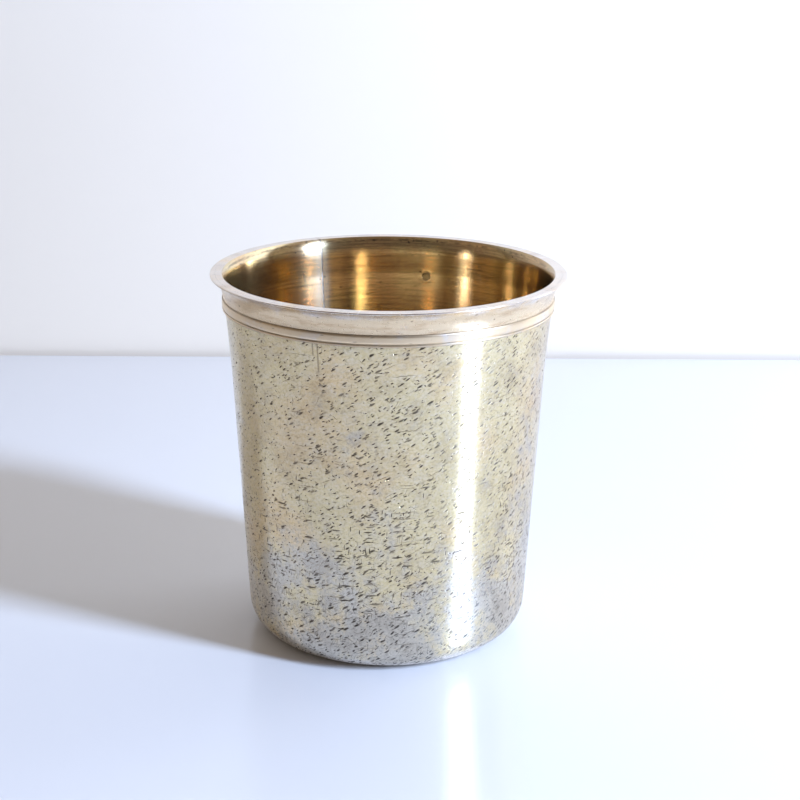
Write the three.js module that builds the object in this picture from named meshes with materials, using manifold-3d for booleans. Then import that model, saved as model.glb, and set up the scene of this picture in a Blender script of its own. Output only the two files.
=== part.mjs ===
// A small silver-gilt beaker that holds one shot: a rolled and soldered sheet wall, a disc
// floor, and two applied strips round the lip. Millimetres, +Z up, origin at the centre of
// the underside, -Y is the front.
import * as THREE from "three";
import { mergeVertices } from "three/addons/utils/BufferGeometryUtils.js";
import Module from "manifold-3d";

// Driving dimensions.
const HEIGHT = 50;
const LIP_RADIUS = 23.65; // outermost edge of the rim
const SHEET = 0.6; // thickness of the wall and of the floor
const FOOT_RING_RADIUS = 12.6; // inner edge of the turned-in foot
const FOOT_FLAT_RADIUS = 15.05; // where the flat underside ends and the corner starts
const FOOT_CORNER_RADIUS = 4.2;
const TAPER_DEG = 3.15; // the wall leans outwards by this much
const FLARE_START_Z = 35; // above this the wall starts to curve outwards
const FLARE_RADIUS = 190;
const COLLAR_START_Z = 44.75; // a steeper collar carries the reeded band
const COLLAR_BEND_RADIUS = 5;
const COLLAR_LEAN_DEG = 2.5;
const COLLAR_TOP_Z = 47.2; // above this the sheet eases outwards
const EASE_RADIUS = 9.75;
const EASE_TURN_DEG = 9.5;
const LIP_BEND_RADIUS = 1.53; // then it turns out more sharply to the mouth
const LIP_TURN_DEG = 34.5;
const LIP_TAIL = 0.8; // the turned-out end of the sheet, cut off level at HEIGHT

const SEAM_WIDTH = 0.4; // opening between the two ends of the rolled sheet
const SEAM_SOLDER_WIDTH = 0.3;
const SEAM_ANGLE_DEG = 117; // anticlockwise from +X, so at the back left

const JOINT_GAP = 0.05; // clearance between soldered pieces
const FLOOR_RADIUS = 14.6;
const FLOOR_RISE = 0.8; // how far the floor is domed up at its centre
const FILLET_REACH_DEG = 30; // how far the floor solder climbs round the corner
const FILLET_HEIGHT = 0.55;

const BAND_BOTTOM_Z = 45.36;
const BAND_TOP_Z = 46.9;
const BAND_THICKNESS = 0.23;
const BAND_BEAD_HEIGHT = 0.34; // thin bead along the lower edge, below the main reed
const BAND_GROOVE = 0.09; // depth of the groove between bead and reed
const LIP_STRIP_THICKNESS = 0.18; // at the lower edge of the lip moulding
const LIP_STRIP_BEND_RADIUS = 3.65; // the hollow curve of its outer face
const LIP_ARRIS = 0.1; // height of the narrow upright land round the lip

const SEGMENTS = 64; // steps round the axis, shared so that nested pieces stay apart

const radians = THREE.MathUtils.degToRad;

// A point of a profile: x is the radius, y is the height.
function point(radius, height) {
  return new THREE.Vector2(radius, height);
}

// Points along an arc about (centreRadius, centreHeight), angles in radians from +X.
function arc(centreRadius, centreHeight, radius, from, to, steps) {
  const points = [];
  for (let i = 0; i <= steps; i += 1) {
    const angle = from + ((to - from) * i) / steps;
    const out = centreRadius + radius * Math.cos(angle);
    points.push(point(out, centreHeight + radius * Math.sin(angle)));
  }
  return points;
}

// A solid of revolution about +Z from a closed profile, listed clockwise in (radius, height).
function revolve(profile) {
  const anticlockwise = [...profile, profile[0].clone()].toReversed();
  const geometry = new THREE.LatheGeometry(anticlockwise, SEGMENTS);
  geometry.rotateX(Math.PI / 2);
  return geometry;
}

// Follows a bent strip of sheet from its start and gives the line of one face: each leg is a
// straight length or a bend, positive turns being to the left. offset moves the line to the
// left of the direction of travel, so that two calls give the two faces of the sheet.
function faceOfStrip(start, heading, legs, offset) {
  let direction = radians(heading);
  const place = start.clone();
  const line = [];
  const record = () => {
    const left = direction + Math.PI / 2;
    line.push(point(place.x + offset * Math.cos(left), place.y + offset * Math.sin(left)));
  };
  record();
  for (const leg of legs) {
    const steps = leg.steps ?? 1;
    const turn = radians(leg.turn ?? 0) / steps;
    const chord = turn === 0 ? leg.length : 2 * leg.radius * Math.sin(Math.abs(turn) / 2);
    for (let i = 0; i < steps; i += 1) {
      direction += turn / 2;
      place.x += chord * Math.cos(direction);
      place.y += chord * Math.sin(direction);
      direction += turn / 2;
      record();
    }
  }
  return line;
}

// Cuts a rising line off at a height.
function trimAtHeight(line, height) {
  const above = line.findIndex((p) => p.y >= height);
  const low = line[above - 1];
  const share = (height - low.y) / (line[above].y - low.y);
  return [...line.slice(0, above), low.clone().lerp(line[above], share)];
}

// Cuts off the part of a rising line that is below a height.
function startAtHeight(line, height) {
  const above = line.findIndex((p) => p.y > height);
  const low = line[above - 1];
  const share = (height - low.y) / (line[above].y - low.y);
  return [low.clone().lerp(line[above], share), ...line.slice(above)];
}

function radiusAtHeight(line, height) {
  return startAtHeight(line, height)[0].x;
}

// The wall sheet: out along the underside, round the foot corner, up the lean wall, through
// the long flare, steeper at the collar, and out again to the lip.
const cornerTurn = 90 - TAPER_DEG;
const cornerTopZ = FOOT_CORNER_RADIUS * (1 - Math.cos(radians(cornerTurn)));
const flareTurn = THREE.MathUtils.radToDeg((COLLAR_START_Z - FLARE_START_Z) / FLARE_RADIUS);
const flareLean = TAPER_DEG + flareTurn;
const sineDrop = Math.sin(radians(flareLean)) - Math.sin(radians(COLLAR_LEAN_DEG));
const collarHeight = COLLAR_TOP_Z - COLLAR_START_Z - COLLAR_BEND_RADIUS * sineDrop;
const wallLegs = [
  { length: FOOT_FLAT_RADIUS - FOOT_RING_RADIUS },
  { radius: FOOT_CORNER_RADIUS, turn: cornerTurn, steps: 6 },
  { length: (FLARE_START_Z - cornerTopZ) / Math.cos(radians(TAPER_DEG)) },
  { radius: FLARE_RADIUS, turn: -flareTurn, steps: 3 },
  { radius: COLLAR_BEND_RADIUS, turn: flareLean - COLLAR_LEAN_DEG },
  { length: collarHeight / Math.cos(radians(COLLAR_LEAN_DEG)) },
  { radius: EASE_RADIUS, turn: -EASE_TURN_DEG, steps: 2 },
  { radius: LIP_BEND_RADIUS, turn: -LIP_TURN_DEG, steps: 4 },
  { length: LIP_TAIL },
];
const wallStart = point(FOOT_RING_RADIUS, 0);
const wallOutside = trimAtHeight(faceOfStrip(wallStart, 0, wallLegs, 0), HEIGHT);
const wallInside = trimAtHeight(faceOfStrip(wallStart, 0, wallLegs, SHEET), HEIGHT);
const collarRadius = radiusAtHeight(wallOutside, BAND_TOP_Z);

function wallProfile() {
  return [...wallInside, ...wallOutside.toReversed()];
}

// The floor lies on the turned-in foot. Its middle is domed, its edge is flat.
function floorProfile() {
  const seat = SHEET + JOINT_GAP;
  const domeRadius = (FOOT_RING_RADIUS ** 2 + FLOOR_RISE ** 2) / (2 * FLOOR_RISE);
  const steps = 4;
  const underside = [];
  const upperSide = [];
  for (let i = 0; i <= steps; i += 1) {
    const radius = (FOOT_RING_RADIUS * i) / steps;
    const drop = domeRadius - Math.sqrt(domeRadius ** 2 - radius ** 2);
    underside.push(point(radius, seat + FLOOR_RISE - drop));
    upperSide.push(point(radius, seat + SHEET + FLOOR_RISE - drop));
  }
  const rim = [point(FLOOR_RADIUS, seat + SHEET), point(FLOOR_RADIUS, seat)];
  return [...upperSide, ...rim, ...underside.toReversed()];
}

// Solder in the corner between the floor's edge and the wall.
function floorFilletProfile() {
  const innerCornerRadius = FOOT_CORNER_RADIUS - SHEET - JOINT_GAP;
  const start = FLOOR_RADIUS + JOINT_GAP;
  const down = -Math.PI / 2;
  const reach = down + radians(FILLET_REACH_DEG);
  const underside = arc(FOOT_FLAT_RADIUS, FOOT_CORNER_RADIUS, innerCornerRadius, down, reach, 3);
  const seat = underside[0].y;
  return [point(start, seat + FILLET_HEIGHT), ...underside.toReversed(), point(start, seat)];
}

// Two reeds of unequal height on a flat back.
function bandProfile() {
  const back = collarRadius + JOINT_GAP;
  const face = back + BAND_THICKNESS;
  const beadTop = BAND_BOTTOM_Z + BAND_BEAD_HEIGHT;
  const reedMiddle = (beadTop + BAND_TOP_Z) / 2;
  return [
    point(back, BAND_TOP_Z),
    point(face - BAND_GROOVE, BAND_TOP_Z),
    point(face, BAND_TOP_Z - BAND_GROOVE),
    point(face + BAND_GROOVE / 2, reedMiddle),
    point(face, beadTop + BAND_GROOVE),
    point(face - BAND_GROOVE, beadTop),
    point(face, beadTop - BAND_GROOVE),
    point(face, BAND_BOTTOM_Z + BAND_GROOVE),
    point(face - BAND_GROOVE, BAND_BOTTOM_Z),
    point(back, BAND_BOTTOM_Z),
  ];
}

// The hollow-curved strip under the lip, fitted to the sheet and level with its cut edge.
function lipMouldingProfile() {
  const bottom = BAND_TOP_Z + JOINT_GAP;
  const steps = 6;
  const besideSheet = faceOfStrip(wallStart, 0, wallLegs, -JOINT_GAP);
  const back = startAtHeight(trimAtHeight(besideSheet, HEIGHT), bottom);
  const faceCentre = collarRadius + LIP_STRIP_THICKNESS + LIP_STRIP_BEND_RADIUS;
  const land = HEIGHT - LIP_ARRIS;
  const faceTop = Math.PI - Math.asin((land - BAND_TOP_Z) / LIP_STRIP_BEND_RADIUS);
  const faceBottom = Math.PI - Math.asin((bottom - BAND_TOP_Z) / LIP_STRIP_BEND_RADIUS);
  const face = arc(faceCentre, BAND_TOP_Z, LIP_STRIP_BEND_RADIUS, faceTop, faceBottom, steps);
  return [...back, point(LIP_RADIUS, HEIGHT), point(LIP_RADIUS, land), ...face];
}

// manifold-3d cuts the seam out of the sheet, and its solder out of the same sheet.
const wasm = await Module();
wasm.setup();

function toSolid(geometry) {
  const bare = geometry.clone();
  bare.deleteAttribute("normal");
  bare.deleteAttribute("uv");
  const merged = mergeVertices(bare, 1e-4);
  const mesh = new wasm.Mesh({
    numProp: 3,
    vertProperties: merged.attributes.position.array,
    triVerts: new Uint32Array(merged.index.array),
  });
  return new wasm.Manifold(mesh);
}

function toGeometry(solid) {
  const { vertProperties, triVerts } = solid.getMesh();
  const geometry = new THREE.BufferGeometry();
  geometry.setAttribute("position", new THREE.BufferAttribute(vertProperties, 3));
  geometry.setIndex(new THREE.BufferAttribute(triVerts, 1));
  geometry.computeVertexNormals();
  return geometry;
}

// An upright blade through the sheet along the seam, from inside the foot to past the lip.
function seamBlade(width) {
  const inner = FOOT_RING_RADIUS / 2;
  const outer = LIP_RADIUS + 1;
  const blade = new THREE.BoxGeometry(outer - inner, width, HEIGHT + 2);
  blade.translate((inner + outer) / 2, 0, HEIGHT / 2);
  blade.rotateZ(radians(SEAM_ANGLE_DEG));
  return toSolid(blade);
}

const wholeSheet = toSolid(revolve(wallProfile()));

const wornGilt = new THREE.MeshStandardMaterial({ color: 0xbeb49c, roughness: 0.38, metalness: 1 });
const brightLip = new THREE.MeshStandardMaterial({ color: 0xd4c1a8, roughness: 0.28, metalness: 1 });
const brightBand = new THREE.MeshStandardMaterial({ color: 0xb9a892, roughness: 0.32, metalness: 1 });
const floorGilt = new THREE.MeshStandardMaterial({ color: 0x88633c, roughness: 0.3, metalness: 1 });
const solder = new THREE.MeshStandardMaterial({ color: 0xc9c5bd, roughness: 0.45, metalness: 1 });

const beaker = new THREE.Group();

function addPiece(name, geometry, material) {
  const piece = new THREE.Mesh(geometry, material);
  piece.name = name;
  beaker.add(piece);
}

addPiece("wall_sheet", toGeometry(wholeSheet.subtract(seamBlade(SEAM_WIDTH))), wornGilt);
addPiece("wall_seam_solder", toGeometry(wholeSheet.intersect(seamBlade(SEAM_SOLDER_WIDTH))), solder);
addPiece("base_disc", revolve(floorProfile()), floorGilt);
addPiece("base_solder_fillet", revolve(floorFilletProfile()), solder);
addPiece("reeded_band", revolve(bandProfile()), brightBand);
addPiece("lip_moulding", revolve(lipMouldingProfile()), brightLip);

export default beaker;
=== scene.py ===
# Looks of a small silver-gilt shot beaker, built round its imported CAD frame.
# Metres, +Z up, -Y is the front. Lengths written as n * MM are millimetres.
import math

import bmesh
import bpy
import numpy as np
from mathutils import Matrix, Vector

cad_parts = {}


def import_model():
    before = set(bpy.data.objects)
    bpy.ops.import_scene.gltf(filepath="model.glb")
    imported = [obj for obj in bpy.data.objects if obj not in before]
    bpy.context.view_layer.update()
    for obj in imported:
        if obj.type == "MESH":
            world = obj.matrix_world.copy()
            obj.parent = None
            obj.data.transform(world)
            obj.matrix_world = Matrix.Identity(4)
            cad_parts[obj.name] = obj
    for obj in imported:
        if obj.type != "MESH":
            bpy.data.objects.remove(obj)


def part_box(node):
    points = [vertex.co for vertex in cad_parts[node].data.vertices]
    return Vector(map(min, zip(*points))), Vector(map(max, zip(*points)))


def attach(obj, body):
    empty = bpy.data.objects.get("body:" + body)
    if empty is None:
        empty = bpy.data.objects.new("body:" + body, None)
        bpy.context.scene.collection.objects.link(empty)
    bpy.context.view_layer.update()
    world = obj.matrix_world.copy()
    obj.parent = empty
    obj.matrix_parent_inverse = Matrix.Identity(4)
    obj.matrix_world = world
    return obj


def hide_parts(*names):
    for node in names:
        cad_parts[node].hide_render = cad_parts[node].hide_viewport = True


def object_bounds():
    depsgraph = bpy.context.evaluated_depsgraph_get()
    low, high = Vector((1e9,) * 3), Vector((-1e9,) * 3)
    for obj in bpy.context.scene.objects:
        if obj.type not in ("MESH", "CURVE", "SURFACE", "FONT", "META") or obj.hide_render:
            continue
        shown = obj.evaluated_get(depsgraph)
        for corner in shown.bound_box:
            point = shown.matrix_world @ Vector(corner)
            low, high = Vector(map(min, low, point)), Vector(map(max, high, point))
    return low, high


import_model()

MM = 0.001
CAD_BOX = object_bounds()

# ---------------------------------------------------------------- sizes, as in the CAD model
HEIGHT = CAD_BOX[1].z
LIP_RADIUS = CAD_BOX[1].x
SHEET = 0.6 * MM
FOOT_RING_RADIUS = 12.6 * MM
FOOT_FLAT_RADIUS = 15.05 * MM
FOOT_CORNER_RADIUS = 4.2 * MM
TAPER = math.radians(3.15)
FLARE_START_Z = 35 * MM
FLARE_RADIUS = 190 * MM
COLLAR_START_Z = 44.75 * MM
COLLAR_BEND_RADIUS = 5 * MM
COLLAR_LEAN = math.radians(2.5)
COLLAR_TOP_Z = 47.2 * MM
EASE_RADIUS = 9.75 * MM
EASE_TURN = math.radians(9.5)
LIP_BEND_RADIUS = 1.53 * MM
LIP_TURN = math.radians(34.5)
LIP_TAIL = 0.8 * MM
LIP_STRIP_THICKNESS = 0.18 * MM
LIP_STRIP_BEND_RADIUS = 3.65 * MM
FLOOR_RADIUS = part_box("base_disc")[1].x
FLOOR_BOTTOM_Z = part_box("base_disc")[0].z
FLOOR_TOP_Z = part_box("base_disc")[1].z
FLOOR_RISE = FLOOR_TOP_Z - FLOOR_BOTTOM_Z - SHEET
BAND_BOTTOM_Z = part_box("reeded_band")[0].z
BAND_TOP_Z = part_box("reeded_band")[1].z
BAND_FACE_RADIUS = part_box("reeded_band")[1].x
SEAM_ANGLE = math.radians(117)

# ---------------------------------------------------------------- finer sizes, seen only here
FINE_GAP = 0.012 * MM  # hairline left between soldered pieces
SEAM_HALF_WIDTH = 0.09 * MM  # half the opening of the wall seam
SEAM_SINK = 0.03 * MM  # how far its solder lies below the sheet
FILLET_REACH = math.radians(38)  # how far the floor solder climbs round the foot corner
FILLET_LAP = 0.1 * MM  # how far its top edge laps back over the floor's rounded edge
FILLET_SAG_REACH = 0.9 * MM  # where its hollow skin is pulled to, out from its top edge
BEAD_HEIGHT = 0.36 * MM  # from the band's lower edge to the middle of its groove
GROOVE_HALF_WIDTH = 0.04 * MM
GROOVE_DEPTH = 0.15 * MM
BEAD_SINK = 0.03 * MM  # how far the bead's crown lies below the reed's
LIP_STRIP_LIFT = 0.06 * MM  # crevice between the band and the lip moulding
LIP_STRIP_CHAMFER = (0.07 * MM, 0.04 * MM)  # inwards and downwards, at its lower edge
ARRIS_RADIUS = 0.12 * MM  # rounding of the lip's outer edge
ARRIS_START = 0.2 * MM  # how far below the top the hollow face ends
OUT_OF_ROUND = 0.05 * MM  # at the mouth
AROUND = 360  # steps round the axis


# ---------------------------------------------------------------- profiles
def arc(centre, radius, start, end, steps):
    """Points (radius, height) on an arc, angles in radians from outwards."""
    angles = np.linspace(start, end, steps + 1)
    return np.stack([centre[0] + radius * np.cos(angles), centre[1] + radius * np.sin(angles)], 1)


def sheet_face(depth):
    """One face of the wall sheet from the foot ring to the lip, depth below its outer face."""
    corner_turn = math.pi / 2 - TAPER
    corner_top = FOOT_CORNER_RADIUS * (1 - math.cos(corner_turn))
    flare_turn = (COLLAR_START_Z - FLARE_START_Z) / FLARE_RADIUS
    lean = TAPER + flare_turn
    collar_turn = lean - COLLAR_LEAN
    collar_rise = COLLAR_BEND_RADIUS * (math.sin(lean) - math.sin(COLLAR_LEAN))
    collar_height = COLLAR_TOP_Z - COLLAR_START_Z - collar_rise
    legs = [
        (FOOT_FLAT_RADIUS - FOOT_RING_RADIUS, 0, 4),
        (FOOT_CORNER_RADIUS * corner_turn, corner_turn, 20),
        ((FLARE_START_Z - corner_top) / math.cos(TAPER), 0, 40),
        (FLARE_RADIUS * flare_turn, -flare_turn, 14),
        (COLLAR_BEND_RADIUS * collar_turn, collar_turn, 4),
        (collar_height / math.cos(COLLAR_LEAN), 0, 2),
        (EASE_RADIUS * EASE_TURN, -EASE_TURN, 8),
        (LIP_BEND_RADIUS * LIP_TURN, -LIP_TURN, 14),
        (LIP_TAIL, 0, 2),
    ]
    place = np.array([FOOT_RING_RADIUS, 0.0])
    heading = 0.0
    line = []

    def record():
        line.append(place + depth * np.array([-math.sin(heading), math.cos(heading)]))

    record()
    for length, turn, steps in legs:
        for _ in range(steps):
            heading += turn / steps / 2
            place = place + length / steps * np.array([math.cos(heading), math.sin(heading)])
            heading += turn / steps / 2
            record()
    return trim(np.array(line), HEIGHT)


def trim(line, height):
    """Cuts a rising line off at a height."""
    above = int(np.argmax(line[:, 1] >= height))
    low, high = line[above - 1], line[above]
    share = (height - low[1]) / (high[1] - low[1])
    return np.vstack([line[:above], low + share * (high - low)])


def raised(line, height):
    """Cuts off the part of a rising line below a height."""
    above = int(np.argmax(line[:, 1] > height))
    low, high = line[above - 1], line[above]
    share = (height - low[1]) / (high[1] - low[1])
    return np.vstack([low + share * (high - low), line[above:]])


def face_radius_at(line, heights):
    """Radius of a rising face at some heights."""
    return np.interp(heights, line[:, 1], line[:, 0])


OUTSIDE = sheet_face(0.0)
INSIDE = sheet_face(SHEET)
COLLAR_RADIUS = float(face_radius_at(OUTSIDE, BAND_TOP_Z))


def wall_outline():
    """Closed anticlockwise outline of the sheet, with the surface that each point starts."""
    line = np.vstack([OUTSIDE, INSIDE[::-1]])
    surfaces = [0] * (len(OUTSIDE) - 1) + [1] + [2] * (len(INSIDE) - 1) + [0]
    return line, surfaces


def seam_outline():
    """The solder in the seam: the sheet's own outline, sunk a little on both faces."""
    outside = sheet_face(SEAM_SINK)
    inside = sheet_face(SHEET - SEAM_SINK)
    line = np.vstack([outside, inside[::-1]])
    return line, [0] * len(line)


def floor_outline():
    """The disc that makes the floor: a shallow dome with a flat edge lying on the foot."""
    seat = SHEET + FINE_GAP
    dome = (FOOT_RING_RADIUS**2 + FLOOR_RISE**2) / (2 * FLOOR_RISE)
    radii = np.linspace(0, FOOT_RING_RADIUS, 32)
    drop = dome - np.sqrt(dome**2 - radii**2)
    under = np.stack([radii, seat + FLOOR_RISE - drop], 1)
    edge = arc(
        (FLOOR_RADIUS - SHEET / 2, seat + SHEET / 2), SHEET / 2, -math.pi / 2, math.pi / 2, 8
    )
    line = np.vstack([under, edge, (under + [0, SHEET])[::-1]])
    surfaces = [1] * (len(under) + 4) + [0] * (len(line) - len(under) - 4)
    return line, surfaces


def fillet_outline():
    """Solder run into the corner between the floor's edge and the wall."""
    floor_edge = FLOOR_RADIUS + FINE_GAP
    start = floor_edge - FILLET_LAP
    corner = (FOOT_FLAT_RADIUS, FOOT_CORNER_RADIUS)
    radius = FOOT_CORNER_RADIUS - SHEET - FINE_GAP
    under = arc(corner, radius, -math.pi / 2, -math.pi / 2 + FILLET_REACH, 10)
    bottom = under[0, 1]
    top = np.array([start, bottom + SHEET * 0.92])
    sag = np.array([start + FILLET_SAG_REACH, bottom + SHEET * 0.78])
    share = np.linspace(0, 1, 8)[1:, None]
    skin = (1 - share) ** 2 * under[-1] + 2 * share * (1 - share) * sag + share**2 * top
    left = np.array([[floor_edge, bottom + SHEET / 2], [floor_edge, bottom]])
    line = np.vstack([under, skin, left])
    return line, [0] * len(line)


def band_outline():
    """A tall reed and a thin bead below it, with rounded crowns."""
    back = COLLAR_RADIUS + 2 * FINE_GAP
    crown = BAND_FACE_RADIUS
    valley = crown - GROOVE_DEPTH
    groove = BAND_BOTTOM_Z + BEAD_HEIGHT
    bead = bulge(BAND_BOTTOM_Z, groove - GROOVE_HALF_WIDTH, valley, crown - BEAD_SINK, 10)
    reed = bulge(groove + GROOVE_HALF_WIDTH, BAND_TOP_Z, valley, crown, 20)
    line = np.vstack([[back, BAND_BOTTOM_Z], bead, reed, [back, BAND_TOP_Z]])
    return line, [0] * len(line)


def bulge(low, high, valley, crown, steps):
    """A rounded moulding between two heights, as a line from low to high."""
    share = np.linspace(-1, 1, steps + 1)
    rise = np.sqrt(1 - 0.97 * share**4)
    heights = low + (high - low) * (share + 1) / 2
    return np.stack([valley + (crown - valley) * rise, heights], 1)


def lip_outline():
    """The hollow-curved strip under the lip, with a narrow rounded arris on top."""
    bottom = BAND_TOP_Z + LIP_STRIP_LIFT
    top = HEIGHT - ARRIS_START
    back = raised(sheet_face(-FINE_GAP), bottom)[::-1]
    centre = (COLLAR_RADIUS + LIP_STRIP_THICKNESS + LIP_STRIP_BEND_RADIUS, BAND_TOP_Z)
    low_angle = math.pi - math.asin((bottom - BAND_TOP_Z) / LIP_STRIP_BEND_RADIUS)
    high_angle = math.pi - math.asin((top - BAND_TOP_Z) / LIP_STRIP_BEND_RADIUS)
    face = arc(centre, LIP_STRIP_BEND_RADIUS, low_angle, high_angle, 26)
    round_centre = (LIP_RADIUS - ARRIS_RADIUS, HEIGHT - ARRIS_RADIUS)
    arris = arc(round_centre, ARRIS_RADIUS, -0.6, math.pi / 2, 8)
    inset, drop = LIP_STRIP_CHAMFER
    foot = [[face[0, 0] - inset, bottom - drop]]
    line = np.vstack([foot, face, arris, back])
    surfaces = [0] * (len(face) + 4) + [1] * (len(line) - len(face) - 4)
    return line, surfaces


# ---------------------------------------------------------------- dents of use
def dents():
    """Shallow knocks in the wall: angle, height, width and depth of each."""
    rng = np.random.default_rng(11)
    count = 26
    return np.stack(
        [
            rng.uniform(0, 2 * math.pi, count),
            rng.uniform(4, 44, count) * MM,
            rng.uniform(1.5, 5.0, count) * MM,
            rng.uniform(0.01, 0.045, count) * MM,
        ],
        1,
    )


DENTS = dents()


def knocked(radii, heights, angles):
    """Radii after use: a trace out of round towards the mouth, and shallow knocks in the wall."""
    moved = OUT_OF_ROUND * np.cos(2 * (angles - 0.7)) * (heights / HEIGHT) ** 2
    for angle, height, width, depth in DENTS:
        across = (np.mod(angles - angle + math.pi, 2 * math.pi) - math.pi) * radii
        distance = across**2 + (heights - height) ** 2
        moved = moved - depth * np.exp(-distance / (2 * width**2))
    on_wall = np.clip(10 * (radii / FOOT_FLAT_RADIUS - 0.9), 0, 1)  # fades out across the foot
    return radii + moved * on_wall


# ---------------------------------------------------------------- meshes
def merge_axis(mesh):
    """Joins the copies of each point that lies on the axis."""
    work = bmesh.new()
    work.from_mesh(mesh)
    middle = [v for v in work.verts if v.co.xy.length < 1e-8]
    bmesh.ops.remove_doubles(work, verts=middle, dist=1e-8)
    work.to_mesh(mesh)
    work.free()


def turned_points(line, angles):
    """The outline's points at each angle in turn, knocked about as in use."""
    radii = np.tile(line[:, 0], len(angles))
    heights = np.tile(line[:, 1], len(angles))
    turn = np.repeat(angles, len(line))
    radii = knocked(radii, heights, turn)
    return np.stack([radii * np.cos(turn), radii * np.sin(turn), heights], 1)


def skin_faces(outline, steps, rings):
    """Four-sided faces between neighbouring turns of the outline, and the surface of each."""
    line, surfaces = outline
    count = len(line)
    faces = []
    face_surfaces = []
    for i in range(steps):
        here = i * count
        there = ((i + 1) % rings) * count
        for j in range(count):
            k = (j + 1) % count
            on_axis = line[j, 0] < 1e-9 and line[k, 0] < 1e-9
            if not on_axis:
                faces.append((here + j, there + j, there + k, here + k))
                face_surfaces.append(surfaces[j])
    return faces, face_surfaces


def end_faces(count, last):
    """Strips across both ends of a sheet whose outline runs up one face and down the other."""
    faces = []
    for j in range(count // 2 - 1):
        strip = (j, j + 1, count - 2 - j, count - 1 - j)
        faces.append(strip)
        faces.append(tuple(last + k for k in reversed(strip)))
    return faces


def revolve(name, outline, materials, start=0.0, sweep=2 * math.pi):
    """A solid of revolution from a closed anticlockwise outline, or an arc of one with flat ends."""
    line, surfaces = outline
    whole = sweep > 2 * math.pi - 1e-9
    steps = max(1, round(AROUND * sweep / (2 * math.pi)))
    rings = steps if whole else steps + 1
    vertices = turned_points(line, start + sweep * np.arange(rings) / steps)
    faces, face_surfaces = skin_faces(outline, steps, rings)
    if not whole:
        ends = end_faces(len(line), (rings - 1) * len(line))
        faces += ends
        face_surfaces += [surfaces[0]] * len(ends)
    mesh = bpy.data.meshes.new(name)
    mesh.from_pydata(vertices.tolist(), [], faces)
    for material in materials:
        mesh.materials.append(material)
    mesh.polygons.foreach_set("material_index", face_surfaces)
    merge_axis(mesh)
    mesh.shade_smooth()
    mesh.set_sharp_from_angle(angle=math.radians(40))
    piece = bpy.data.objects.new(name, mesh)
    bpy.context.scene.collection.objects.link(piece)
    return piece


# ---------------------------------------------------------------- node trees
class Shader:
    """Builds the node tree of one material. Sockets and plain numbers can be mixed as inputs."""

    def __init__(self, name):
        self.material = bpy.data.materials.new(name)
        self.material.use_nodes = True
        self.tree = self.material.node_tree
        self.tree.nodes.clear()

    def add(self, kind, inputs=None, **settings):
        node = self.tree.nodes.new("ShaderNode" + kind)
        for key, value in settings.items():
            setattr(node, key, value)
        for key, value in (inputs or {}).items():
            self.feed(node.inputs[key], value)
        return node

    def feed(self, socket, value):
        if isinstance(value, bpy.types.NodeSocket):
            self.tree.links.new(value, socket)
        else:
            socket.default_value = value

    def math(self, operation, a, b=0.0, clamp=False):
        node = self.add("Math", {0: a, 1: b}, operation=operation, use_clamp=clamp)
        return node.outputs[0]

    def plus(self, *terms):
        total = terms[0]
        for term in terms[1:]:
            total = self.math("ADD", total, term)
        return total

    def times(self, *terms):
        total = terms[0]
        for term in terms[1:]:
            total = self.math("MULTIPLY", total, term)
        return total

    def step(self, value, low, high):
        """0 below low, 1 above high, smooth between; low may be above high to turn it round."""
        node = self.add(
            "MapRange", {0: value, 1: low, 2: high, 3: 0.0, 4: 1.0}, interpolation_type="SMOOTHSTEP"
        )
        return node.outputs[0]

    def blend(self, share, a, b):
        """Colour a where share is 0 and b where it is 1."""
        node = self.add("Mix", {0: share, 6: colour(a), 7: colour(b)}, data_type="RGBA")
        return node.outputs[2]

    def multiply(self, share, a, b):
        node = self.add(
            "Mix", {0: share, 6: colour(a), 7: colour(b)}, data_type="RGBA", blend_type="MULTIPLY"
        )
        return node.outputs[2]

    def vector(self, x, y, z=0.0):
        return self.add("CombineXYZ", {0: x, 1: y, 2: z}).outputs[0]

    def noise(self, where, scale, detail=2.0, roughness=0.5):
        node = self.add(
            "TexNoise",
            {"Vector": where, "Scale": scale, "Detail": detail, "Roughness": roughness},
            noise_dimensions="3D",
        )
        return node.outputs["Fac"]


def colour(value):
    """Three numbers as a colour with alpha; a socket is passed on."""
    return value if isinstance(value, bpy.types.NodeSocket) else (*value, 1.0)


def place_on_metal(shader):
    """Millimetres round the metal from opposite the seam, millimetres up, and both as a vector.

    The cut in the first one falls on the seam, where the real sheet ends too."""
    position = shader.add("TexCoord").outputs["Object"]
    turned = shader.add(
        "VectorRotate", {"Vector": position, "Angle": math.pi - SEAM_ANGLE}, rotation_type="Z_AXIS"
    ).outputs[0]
    parts = shader.add("SeparateXYZ", {0: turned}).outputs
    angle = shader.math("ARCTAN2", parts["Y"], parts["X"])
    around = shader.times(angle, COLLAR_RADIUS / MM)
    up = shader.times(parts["Z"], 1 / MM)
    return around, up, shader.vector(around, up)


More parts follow.
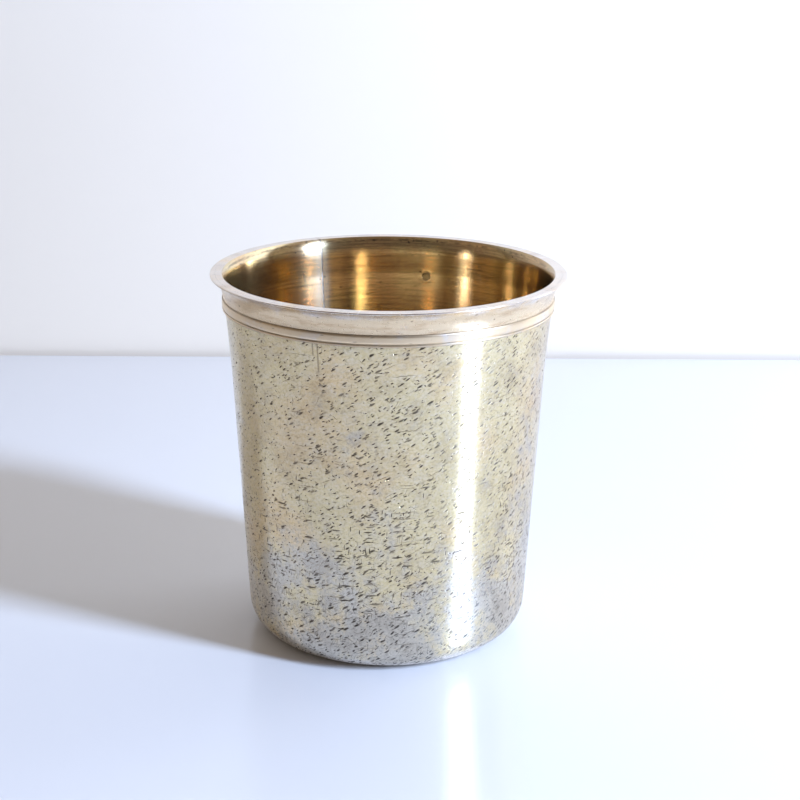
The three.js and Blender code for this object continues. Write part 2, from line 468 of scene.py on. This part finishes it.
def marks(shader, where, lean, length, width, size, share, seed, waviness=0.15):
    """A scatter of small pointed ellipses: pits when they are short, scratches when long.

    lean turns them anticlockwise from level, length and width are the cell they are spread
    over, size their half size in cells, and share how many cells have one."""
    wobble = shader.add("TexNoise", {"Vector": where, "Scale": 1.3, "Detail": 1.0}).outputs["Color"]
    offset = shader.add("VectorMath", {0: wobble, 1: (0.5, 0.5, 0.5)}, operation="SUBTRACT")
    moved = shader.add(
        "VectorMath", {0: offset.outputs[0], 1: (waviness,) * 3, 2: where}, operation="MULTIPLY_ADD"
    )
    turned = shader.add(
        "VectorRotate",
        {"Vector": moved.outputs[0], "Angle": -math.radians(lean)},
        rotation_type="Z_AXIS",
    )
    cells = shader.add(
        "VectorMath",
        {0: turned.outputs[0], 1: (1 / length, 1 / width, 1.0), 2: (seed * 7.31, seed * 3.77, 0.0)},
        operation="MULTIPLY_ADD",
    )
    scatter = shader.add(
        "TexVoronoi",
        {"Vector": cells.outputs[0], "Scale": 1.0, "Randomness": 1.0},
        voronoi_dimensions="2D",
    )
    dice = shader.add("SeparateColor", {0: scatter.outputs["Color"]}).outputs
    reach = shader.times(size, shader.plus(0.45, shader.times(0.55, dice[1])))
    inside = shader.step(shader.math("DIVIDE", scatter.outputs["Distance"], reach), 1.0, 0.45)
    present = shader.math("LESS_THAN", dice[0], share)
    return shader.times(inside, present, shader.plus(0.5, shader.times(0.5, dice[2])))


def stretched(shader, where, lean, along, across):
    """The place turned by lean degrees and scaled along and across that direction."""
    turned = shader.add(
        "VectorRotate", {"Vector": where, "Angle": -math.radians(lean)}, rotation_type="Z_AXIS"
    )
    scaled = shader.add(
        "VectorMath", {0: turned.outputs[0], 1: (along, across, 1.0)}, operation="MULTIPLY"
    )
    return scaled.outputs[0]


def strongest(shader, *masks):
    """The highest of several masks at each place."""
    top = masks[0]
    for mask in masks[1:]:
        top = shader.math("MAXIMUM", top, mask)
    return top


def metal(shader, base, roughness, height_mm, anisotropy):
    """Ends a tree in a polished metal. height_mm is relief in millimetres.

    The quarter turn of the anisotropy makes highlights run up the wall, not round it."""
    bump = shader.add("Bump", {"Height": height_mm, "Distance": MM, "Strength": 1.0})
    tangent = shader.add("Tangent", direction_type="RADIAL", axis="Z")
    surface = shader.add(
        "BsdfPrincipled",
        {
            "Base Color": base,
            "Metallic": 1.0,
            "Roughness": roughness,
            "Normal": bump.outputs[0],
            "Tangent": tangent.outputs[0],
            "Anisotropic": anisotropy,
            "Anisotropic Rotation": 0.25,
        },
    )
    output = shader.add("OutputMaterial")
    shader.tree.links.new(surface.outputs[0], output.inputs["Surface"])
    return shader.material


# ---------------------------------------------------------------- metals
GILT = (0.81, 0.68, 0.40)
WARM_GILT = (0.84, 0.64, 0.36)
PALE_GILT = (0.78, 0.69, 0.52)
DEEP_GILT = (0.80, 0.58, 0.34)
LIP_GILT = (0.84, 0.67, 0.45)
SILVER = (0.72, 0.67, 0.57)
BRIGHT_SILVER = (0.88, 0.83, 0.76)
PALE_SILVER = (0.80, 0.73, 0.66)
TARNISH = (0.070, 0.055, 0.045)
BROWN_TARNISH = (0.22, 0.16, 0.10)
GROOVE_DIRT = (0.18, 0.13, 0.09)
DARK_SOLDER = (0.24, 0.20, 0.15)
CLEAN_SOLDER = (0.52, 0.48, 0.42)

FILE_CUTS = ((-19.9, 43.7), (-19.25, 41.6))  # upright cuts: mm round the wall, and lower end
WARM_STAIN = (-23.0, 32.0, 0.0)  # middle of a browner patch: mm round the wall, and height
DIMPLE = (52.6, 44.4, 0.0)  # a plain punched dimple inside: mm round the wall, and height


def outside_pits(shader, around, up, where, low):
    """Corrosion pits in drifts, most of them leaning one way, with nicks at mid height."""
    crowds = shader.step(shader.noise(where, 0.30, 3.0, 0.6), 0.36, 0.66)
    rightwards = shader.step(around, -28.0, -4.0)
    crowding = shader.plus(
        0.08, shader.times(low, 0.14), shader.times(crowds, 0.42), shader.times(rightwards, 0.14)
    )
    middle = shader.times(shader.step(up, 29.0, 22.0), shader.step(up, 4.0, 12.0))
    return strongest(
        shader,
        marks(shader, where, 28, 2.3, 0.70, 0.29, crowding, 1),
        marks(shader, where, 36, 1.7, 0.58, 0.27, crowding, 2),
        marks(shader, where, 18, 1.5, 0.50, 0.23, crowding, 3),
        marks(shader, where, -40, 1.3, 0.56, 0.2, shader.times(crowding, 0.5), 4),
        marks(shader, where, 4, 4.4, 0.66, 0.25, shader.times(middle, 0.36), 9),
        marks(shader, where, 86, 2.8, 0.60, 0.2, shader.times(middle, 0.22), 10),
    )


def outside_scratches(shader, where, low):
    """A few long level scratches, and fine ones in all directions, most of them low down."""
    fine_kinds = (  # lean, length, width, share everywhere, further share low down, seed
        (24, 7.0, 0.32, 0.08, 0.36, 6),
        (62, 5.0, 0.32, 0.05, 0.30, 7),
        (-28, 5.0, 0.32, 0.05, 0.28, 8),
        (84, 4.0, 0.36, 0.02, 0.30, 11),
        (-3, 5.0, 0.34, 0.04, 0.34, 12),
    )
    kinds = [marks(shader, where, 2, 14.0, 0.40, 0.2, 0.12, 5, 0.4)]
    for lean, length, width, everywhere, further, seed in fine_kinds:
        share = shader.plus(everywhere, shader.times(low, further))
        kinds.append(marks(shader, where, lean, length, width, 0.2, share, seed, 0.3))
    return strongest(shader, *kinds)


def upright_cuts(shader, around, up):
    """The file cuts: hairlines from the band down to a given height."""
    cuts = []
    for place, bottom in FILE_CUTS:
        off_line = shader.math("ABSOLUTE", shader.math("SUBTRACT", around, place))
        line = shader.step(off_line, 0.16, 0.05)
        cuts.append(shader.times(line, shader.step(up, bottom - 0.2, bottom + 0.2)))
    return strongest(shader, *cuts)


def gilding(shader, up, where, clouds, blotches, speckle, silver_share):
    """Gold of several warmths, thin to bare silver in places and rubbed bright at the foot."""
    warm_share = shader.step(shader.noise(where, 0.09, 2.0), 0.45, 0.7)
    veil = shader.step(shader.noise(stretched(shader, where, 10, 0.5, 1.1), 1.0, 5.0, 0.7), 0.42, 0.66)
    to_stain = shader.add("VectorMath", {0: where, 1: WARM_STAIN}, operation="DISTANCE")
    stain = shader.step(shader.plus(to_stain.outputs["Value"], shader.times(blotches, 6.0)), 12.0, 4.0)
    foot = shader.step(
        shader.plus(up, shader.times(shader.math("SUBTRACT", clouds, 0.5), 5.0)), 2.2, 1.0
    )
    base = shader.blend(warm_share, GILT, WARM_GILT)
    base = shader.blend(shader.times(stain, 0.5), base, DEEP_GILT)
    base = shader.blend(shader.times(veil, 0.5), base, PALE_GILT)
    base = shader.blend(silver_share, base, SILVER)
    base = shader.blend(shader.times(shader.step(speckle, 0.55, 0.35), 0.25), base, BRIGHT_SILVER)
    return shader.blend(shader.times(foot, 0.85), base, BRIGHT_SILVER)


def tarnish_and_painted_shade(shader, base, around, where, clouds, blotches, speckle):
    """Light tarnish: greyer patches, brown smears and fine grime; and painted shade, darkening the
    wall on two sides.
    """
    patches = shader.step(shader.noise(where, 0.22, 4.0, 0.6), 0.42, 0.68)
    # painted shade: two sides of the wall, left and right of the front, are darkened
    drift = shader.plus(around, shader.times(clouds, 14.0))
    painted_shade_sides = shader.plus(shader.step(drift, -24.0, -32.0), shader.step(drift, 12.0, 18.0))
    smears = shader.step(
        shader.noise(stretched(shader, where, 28, 1.1, 3.2), 1.0, 3.0, 0.65), 0.52, 0.72
    )
    grime = shader.times(shader.step(speckle, 0.50, 0.68), shader.step(blotches, 0.35, 0.60))
    base = shader.multiply(patches, base, (0.86, 0.84, 0.82))
    # painted shade, not tarnish: the two sides multiplied darker
    base = shader.multiply(shader.times(painted_shade_sides, 0.7), base, (0.78, 0.75, 0.73))
    base = shader.blend(shader.times(smears, 0.42), base, BROWN_TARNISH)
    return shader.blend(shader.times(grime, 0.40), base, BROWN_TARNISH)


def outside_metal():
    """Thin gilding over silver, pitted and scratched by long use."""
    shader = Shader("worn_gilt_outside")
    around, up, where = place_on_metal(shader)

    clouds = shader.noise(where, 0.11, 4.0, 0.62)
    blotches = shader.noise(where, 0.55, 4.0, 0.65)
    speckle = shader.noise(where, 2.6, 4.0, 0.7)
    grain = shader.noise(
        shader.vector(shader.times(around, 0.5), shader.times(up, 7.0)), 1.0, 3.0, 0.6
    )
    low = shader.step(up, 26.0, 8.0)
    bare = shader.plus(
        clouds,
        shader.times(blotches, 0.55),
        shader.times(speckle, 0.35),
        shader.times(low, 0.24),
        shader.times(shader.step(around, 0.0, 12.0), 0.07),
    )
    silver_share = shader.step(bare, 1.02, 1.26)
    pits = outside_pits(shader, around, up, where, low)
    scratches = outside_scratches(shader, where, low)

    base = gilding(shader, up, where, clouds, blotches, speckle, silver_share)
    base = tarnish_and_painted_shade(shader, base, around, where, clouds, blotches, speckle)
    base = shader.blend(shader.times(upright_cuts(shader, around, up), 0.6), base, BROWN_TARNISH)
    base = shader.blend(shader.times(scratches, 0.7), base, BROWN_TARNISH)
    base = shader.blend(shader.times(pits, 0.9), base, TARNISH)
    roughness = shader.plus(
        0.10,
        shader.times(speckle, 0.15),
        shader.times(pits, 0.4),
        shader.times(scratches, 0.2),
        shader.times(shader.step(up, 14.0, 5.0), 0.1),
        shader.times(silver_share, 0.06),
    )
    relief = shader.plus(
        shader.times(pits, -0.012),
        shader.times(scratches, -0.006),
        shader.times(speckle, 0.004),
        shader.times(grain, 0.002),
    )
    return metal(shader, base, roughness, relief, 0.85)


def punched_dimple(shader, where, speckle):
    """Masks of the small round dimple and of the rim raised round it."""
    to_dimple = shader.add("VectorMath", {0: where, 1: DIMPLE}, operation="DISTANCE")
    reach = shader.plus(to_dimple.outputs["Value"], shader.times(speckle, 0.25))
    hollow = shader.step(reach, 0.82, 0.62)
    rim = shader.times(shader.step(reach, 1.2, 0.95), shader.math("SUBTRACT", 1.0, hollow))
    return hollow, rim


def rubbed_line(shader, up, where):
    """A broken brown line of wear just inside the mouth."""
    near = shader.step(shader.math("ABSOLUTE", shader.math("SUBTRACT", up, 49.55)), 0.25, 0.05)
    gaps = shader.noise(stretched(shader, where, 0, 0.7, 3.0), 1.2, 3.0)
    return shader.times(near, shader.step(gaps, 0.42, 0.62))


def inside_gilding(shader, around, clouds, speckle, brushing):
    """Deep gold, browned along the brushing, and darkened in a patch on one side as painted shade."""
    base = shader.blend(shader.step(clouds, 0.35, 0.7), DEEP_GILT, GILT)
    base = shader.blend(shader.times(shader.step(speckle, 0.5, 0.7), 0.3), base, BROWN_TARNISH)
    base = shader.blend(shader.times(shader.step(brushing, 0.40, 0.70), 0.5), base, BROWN_TARNISH)
    # painted shade: the inner wall is darkened in a patch about 33 mm round from opposite the seam
    painted_shade_patch = shader.step(shader.math("ABSOLUTE", shader.math("SUBTRACT", around, 33.0)), 20.0, 4.0)
    return shader.multiply(shader.times(painted_shade_patch, 0.7), base, (0.72, 0.66, 0.60))


def inside_metal():
    """Deeper gilding, brushed round, bare beside the seam, a little pitted."""
    shader = Shader("deep_gilt_inside")
    around, up, where = place_on_metal(shader)
    half_turn = math.pi * COLLAR_RADIUS / MM
    to_seam = shader.math("SUBTRACT", half_turn, shader.math("ABSOLUTE", around))

    clouds = shader.noise(where, 0.14, 3.0, 0.6)
    speckle = shader.noise(where, 2.4, 3.0, 0.6)
    brushing = shader.noise(
        shader.vector(shader.times(around, 0.10), shader.times(up, 3.4)), 1.0, 4.0, 0.65
    )
    filing = shader.noise(
        shader.vector(shader.times(around, 0.3), shader.times(up, 9.0)), 1.0, 2.0
    )
    bare = shader.step(shader.plus(to_seam, shader.times(clouds, 1.6)), 2.5, 1.3)
    rubbed = rubbed_line(shader, up, where)
    hollow, rim = punched_dimple(shader, where, speckle)
    pits = strongest(
        shader,
        marks(shader, where, 60, 1.5, 1.1, 0.15, 0.5, 21),
        marks(shader, where, 10, 2.4, 1.6, 0.12, 0.5, 22),
    )
    scratches = strongest(
        shader,
        marks(shader, where, 1, 17.0, 0.7, 0.12, 0.18, 23, 0.3),
        marks(shader, where, 74, 12.0, 1.3, 0.10, 0.10, 24, 0.3),
    )
    base = inside_gilding(shader, around, clouds, speckle, brushing)
    base = shader.blend(shader.times(bare, 0.2), base, SILVER)
    base = shader.blend(shader.times(rubbed, 0.6), base, BROWN_TARNISH)
    base = shader.blend(shader.times(hollow, 0.6), base, TARNISH)
    base = shader.blend(shader.times(scratches, 0.35), base, BROWN_TARNISH)
    base = shader.blend(shader.times(pits, 0.9), base, TARNISH)
    roughness = shader.plus(
        0.13, shader.times(speckle, 0.07), shader.times(pits, 0.03), shader.times(bare, 0.04)
    )
    relief = shader.plus(
        shader.times(pits, -0.003),
        shader.times(scratches, -0.004),
        shader.times(brushing, 0.0015),
        shader.times(bare, filing, 0.006),
        shader.times(rubbed, -0.002),
        shader.times(hollow, -0.05),
        shader.times(rim, 0.02),
    )
    return metal(shader, base, roughness, relief, 0.82)


def lip_metal(name, silver):
    """Polished applied strip, smoky in places; silver is how far the gilding has gone."""
    shader = Shader(name)
    around, up, where = place_on_metal(shader)
    patches = shader.noise(where, 0.35, 3.0, 0.6)
    speckle = shader.noise(where, 2.6, 3.0, 0.6)
    drawn = shader.noise(
        shader.vector(shader.times(around, 0.2), shader.times(up, 7.0)), 1.0, 2.0
    )
    pits = marks(shader, where, 20, 2.6, 1.4, 0.12, 0.3, 31)
    smoky = shader.noise(stretched(shader, where, 0, 0.25, 1.2), 1.0, 4.0, 0.65)
    rubbed = shader.times(shader.step(up, 48.4, 49.7), 0.3)
    worn = shader.step(shader.plus(patches, silver, rubbed), 0.55, 0.95)
    base = shader.blend(worn, LIP_GILT, PALE_SILVER)
    base = shader.multiply(shader.step(smoky, 0.45, 0.75), base, (0.74, 0.66, 0.60))
    base = shader.blend(shader.times(pits, 0.8), base, BROWN_TARNISH)
    roughness = shader.plus(0.2, shader.times(speckle, 0.12))
    relief = shader.plus(
        shader.times(pits, -0.02), shader.times(drawn, 0.004), shader.times(speckle, 0.004)
    )
    return metal(shader, base, roughness, relief, 0.3)


def band_metal():
    """The reeds: gilt on their crowns, brown tarnish kept in the valleys."""
    shader = Shader("tarnished_gilt_band")
    _, up, where = place_on_metal(shader)
    patches = shader.noise(where, 0.4, 3.0, 0.6)
    speckle = shader.noise(where, 2.8, 3.0, 0.6)
    crevices = (
        (BAND_BOTTOM_Z / MM, 0.20),
        ((BAND_BOTTOM_Z + BEAD_HEIGHT) / MM, 0.12),
        (BAND_TOP_Z / MM, 0.22),
    )
    near = [
        shader.step(shader.math("ABSOLUTE", shader.math("SUBTRACT", up, height)), reach, 0.03)
        for height, reach in crevices
    ]
    dirt = shader.times(strongest(shader, *near), shader.plus(0.1, shader.times(patches, 0.8)))
    pits = marks(shader, where, 5, 2.2, 0.5, 0.18, 0.25, 41)
    base = shader.blend(shader.step(patches, 0.45, 0.85), LIP_GILT, PALE_SILVER)
    base = shader.blend(shader.times(pits, 0.6), base, BROWN_TARNISH)
    base = shader.blend(dirt, base, GROOVE_DIRT)
    roughness = shader.plus(0.24, shader.times(speckle, 0.12), shader.times(dirt, 0.3))
    relief = shader.plus(shader.times(pits, -0.02), shader.times(speckle, 0.006))
    return metal(shader, base, roughness, relief, 0.3)


def floor_metal(name, gilt, wear):
    """The floor disc, brushed in turned rings; wear is how far the gilding has gone."""
    shader = Shader(name)
    position = shader.add("TexCoord").outputs["Object"]
    flat = shader.add("VectorMath", {0: position, 3: 1 / MM}, operation="SCALE").outputs[0]
    parts = shader.add("SeparateXYZ", {0: flat}).outputs
    reach = shader.add(
        "VectorMath", {0: shader.vector(parts["X"], parts["Y"])}, operation="LENGTH"
    ).outputs["Value"]
    patches = shader.noise(flat, 0.18, 3.0, 0.6)
    speckle = shader.noise(flat, 1.8, 3.0, 0.6)
    rings = shader.noise(shader.vector(shader.times(reach, 5.0), patches), 1.0, 2.0)
    scratches = strongest(
        shader,
        marks(shader, flat, 15, 10.0, 0.5, 0.16, 0.25, 51, 0.4),
        marks(shader, flat, 75, 8.0, 0.5, 0.16, 0.25, 52, 0.4),
        marks(shader, flat, -40, 9.0, 0.5, 0.16, 0.2, 53, 0.4),
    )
    pits = marks(shader, flat, 30, 1.6, 0.9, 0.18, 0.35, 54)
    base = shader.blend(shader.step(shader.plus(patches, wear), 0.5, 0.95), gilt, SILVER)
    base = shader.blend(shader.times(scratches, 0.5), base, BROWN_TARNISH)
    base = shader.blend(shader.times(pits, 0.85), base, TARNISH)
    roughness = shader.plus(0.2, shader.times(speckle, 0.15), shader.times(pits, 0.3))
    relief = shader.plus(
        shader.times(rings, 0.006), shader.times(scratches, -0.01), shader.times(pits, -0.03)
    )
    return metal(shader, base, roughness, relief, 0.0)


def solder_metal():
    """Grey silver solder, a little frosted and dirty."""
    shader = Shader("silver_solder")
    position = shader.add("TexCoord").outputs["Object"]
    where = shader.add("VectorMath", {0: position, 3: 1 / MM}, operation="SCALE").outputs[0]
    lumps = shader.noise(where, 1.4, 3.0, 0.6)
    frost = shader.noise(where, 5.0, 3.0, 0.7)
    base = shader.blend(shader.step(lumps, 0.35, 0.7), DARK_SOLDER, CLEAN_SOLDER)
    roughness = shader.plus(0.32, shader.times(frost, 0.2))
    relief = shader.plus(shader.times(lumps, 0.03), shader.times(frost, 0.006))
    return metal(shader, base, roughness, relief, 0.0)


# ---------------------------------------------------------------- the beaker
def on_body(piece, node):
    """Puts a piece in place of its CAD node, on the one body."""
    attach(piece, "root")
    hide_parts(node)


def build_beaker():
    outside = outside_metal()
    inside = inside_metal()
    lip = lip_metal("polished_gilt_lip", 0.0)
    edge = lip_metal("rubbed_lip_edge", 0.1)
    solder = solder_metal()
    slit = SEAM_HALF_WIDTH / COLLAR_RADIUS
    solder_slit = (SEAM_HALF_WIDTH - FINE_GAP) / COLLAR_RADIUS

    wall = revolve(
        "wall",
        wall_outline(),
        [outside, edge, inside],
        start=SEAM_ANGLE + slit,
        sweep=2 * math.pi - 2 * slit,
    )
    on_body(wall, "wall_sheet")
    seam = revolve(
        "seam_solder",
        seam_outline(),
        [solder],
        start=SEAM_ANGLE - solder_slit,
        sweep=2 * solder_slit,
    )
    on_body(seam, "wall_seam_solder")
    floor_disc = revolve(
        "floor_disc",
        floor_outline(),
        [floor_metal("gilt_floor", DEEP_GILT, 0.0), floor_metal("rubbed_underside", GILT, 0.3)],
    )
    on_body(floor_disc, "base_disc")
    fillet = revolve("floor_solder", fillet_outline(), [solder])
    on_body(fillet, "base_solder_fillet")
    band = revolve("band", band_outline(), [band_metal()])
    on_body(band, "reeded_band")
    moulding = revolve("lip", lip_outline(), [lip, edge])
    on_body(moulding, "lip_moulding")


# ---------------------------------------------------------------- surroundings
WALL_Y = 134 * MM
TABLE_END_GAP = 1.5 * MM  # between the table's far edge and the wall
WALL_FOOT_Z = -20 * MM
ROOM = 1.6  # half width of the table, and height of the wall
TABLE_TINT = (0.80, 0.79, 0.78)
WALL_TINT = (0.98, 0.86, 0.70)
ROOM_TINT = (1.0, 0.83, 0.67)
ROOM_AHEAD = 0.45  # strength of the room's light from ahead of the camera
ROOM_BEHIND_CAMERA = 0.15
ROOM_FADE = (-0.75, 0.35)  # the change between them, from -1 straight behind to 1 straight ahead
WINDOW_AZIMUTH = math.radians(62)  # from the front towards +X
WINDOW_ELEVATION = math.radians(26)
WINDOW_DISTANCE = 0.6
WINDOW_SIZE = (0.08, 0.26)  # width and height
WINDOW_POWER = 9.2
WINDOW_TINT = (0.47, 0.60, 0.88)


def plain_surface(name, tint, roughness, seen_from_front_only=False):
    """Paint with a trace of unevenness; its back can be left clear, for views from behind."""
    shader = Shader(name)
    position = shader.add("TexCoord").outputs["Object"]
    cloud = shader.noise(position, 9.0, 3.0, 0.5)
    base = shader.multiply(1.0, tint, shader.blend(cloud, (0.97,) * 3, (1.0,) * 3))
    surface = shader.add("BsdfPrincipled", {"Base Color": base, "Roughness": roughness})
    output = shader.add("OutputMaterial")
    if seen_from_front_only:
        clear = shader.add("BsdfTransparent")
        back = shader.add("NewGeometry").outputs["Backfacing"]
        pick = shader.add("MixShader", {0: back, 1: surface.outputs[0], 2: clear.outputs[0]})
        shader.tree.links.new(pick.outputs[0], output.inputs["Surface"])
    else:
        shader.tree.links.new(surface.outputs[0], output.inputs["Surface"])
    return shader.material


def plane(name, corners, material):
    """A flat sheet of the surroundings, which isn't part of the object."""
    mesh = bpy.data.meshes.new(name)
    mesh.from_pydata(corners, [], [tuple(range(len(corners)))])
    mesh.materials.append(material)
    sheet = bpy.data.objects.new(name, mesh)
    bpy.context.scene.collection.objects.link(sheet)


def build_surroundings():
    """A table and, behind it, a wall that goes down past a narrow gap at the table's end."""
    end = WALL_Y - TABLE_END_GAP
    foot = WALL_FOOT_Z
    plane(
        "table",
        [(-ROOM, -ROOM, 0), (ROOM, -ROOM, 0), (ROOM, end, 0), (-ROOM, end, 0)],
        plain_surface("pale_table", TABLE_TINT, 0.19),
    )
    plane(
        "backdrop",
        [(-ROOM, WALL_Y, foot), (ROOM, WALL_Y, foot), (ROOM, WALL_Y, ROOM), (-ROOM, WALL_Y, ROOM)],
        plain_surface("pale_wall", WALL_TINT, 0.7, seen_from_front_only=True),
    )


def build_window():
    """A soft upright window to the right of the camera, aimed at the beaker's middle."""
    data = bpy.data.lights.new("window", "AREA")
    data.shape = "RECTANGLE"
    data.size, data.size_y = WINDOW_SIZE
    data.energy = WINDOW_POWER
    data.color = WINDOW_TINT
    lamp = bpy.data.objects.new("window", data)
    bpy.context.scene.collection.objects.link(lamp)
    level = math.cos(WINDOW_ELEVATION)
    out = Vector(
        (
            math.sin(WINDOW_AZIMUTH) * level,
            -math.cos(WINDOW_AZIMUTH) * level,
            math.sin(WINDOW_ELEVATION),
        )
    )
    lamp.location = Vector((0, 0, HEIGHT / 2)) + out * WINDOW_DISTANCE
    lamp.rotation_mode = "QUATERNION"
    lamp.rotation_quaternion = out.to_track_quat("Z", "Y")


def build_room_light():
    """A soft warm room all round, dimmer behind the camera."""
    world = bpy.data.worlds.new("soft_room")
    world.use_nodes = True
    tree = world.node_tree
    room = tree.nodes["Background"]
    towards = tree.nodes.new("ShaderNodeTexCoord")
    parts = tree.nodes.new("ShaderNodeSeparateXYZ")
    tree.links.new(towards.outputs["Generated"], parts.inputs[0])
    strength = tree.nodes.new("ShaderNodeMapRange")
    strength.interpolation_type = "SMOOTHSTEP"
    for socket, value in zip(strength.inputs[1:5], (*ROOM_FADE, ROOM_BEHIND_CAMERA, ROOM_AHEAD)):
        socket.default_value = value
    tree.links.new(parts.outputs["Y"], strength.inputs[0])
    tree.links.new(strength.outputs[0], room.inputs["Strength"])
    room.inputs["Color"].default_value = (*ROOM_TINT, 1.0)
    bpy.context.scene.world = world


# ---------------------------------------------------------------- camera
CAMERA_PLACE = Vector((0, -8.806, 4.120)) * LIP_RADIUS  # ahead of the beaker and above it
CAMERA_PITCH = math.radians(17.47)
CAMERA_YAW = math.radians(0.45)
CAMERA_ROLL = math.radians(0.46)
CAMERA_LENS = 72.07


def build_camera():
    """The camera: in front of the beaker, looking down at it, with a trace of yaw and roll."""
    data = bpy.data.cameras.new("camera")
    data.sensor_width = 36
    data.lens = CAMERA_LENS
    data.clip_start = 0.01
    camera = bpy.data.objects.new("camera", data)
    bpy.context.scene.collection.objects.link(camera)
    level = math.cos(CAMERA_PITCH)
    ahead = Vector(
        (math.sin(CAMERA_YAW) * level, math.cos(CAMERA_YAW) * level, -math.sin(CAMERA_PITCH))
    )
    right = Vector((math.cos(CAMERA_YAW), -math.sin(CAMERA_YAW), 0))
    up = right.cross(ahead)
    rolled_right = right * math.cos(CAMERA_ROLL) + up * math.sin(CAMERA_ROLL)
    rolled_up = up * math.cos(CAMERA_ROLL) - right * math.sin(CAMERA_ROLL)
    turn = Matrix((rolled_right, rolled_up, -ahead)).transposed()
    camera.matrix_world = Matrix.Translation(CAMERA_PLACE) @ turn.to_4x4()
    bpy.context.scene.camera = camera


build_beaker()
build_surroundings()
build_room_light()
build_window()
build_camera()
bpy.context.scene.view_settings.view_transform = "Standard"

bpy.context.view_layer.update()
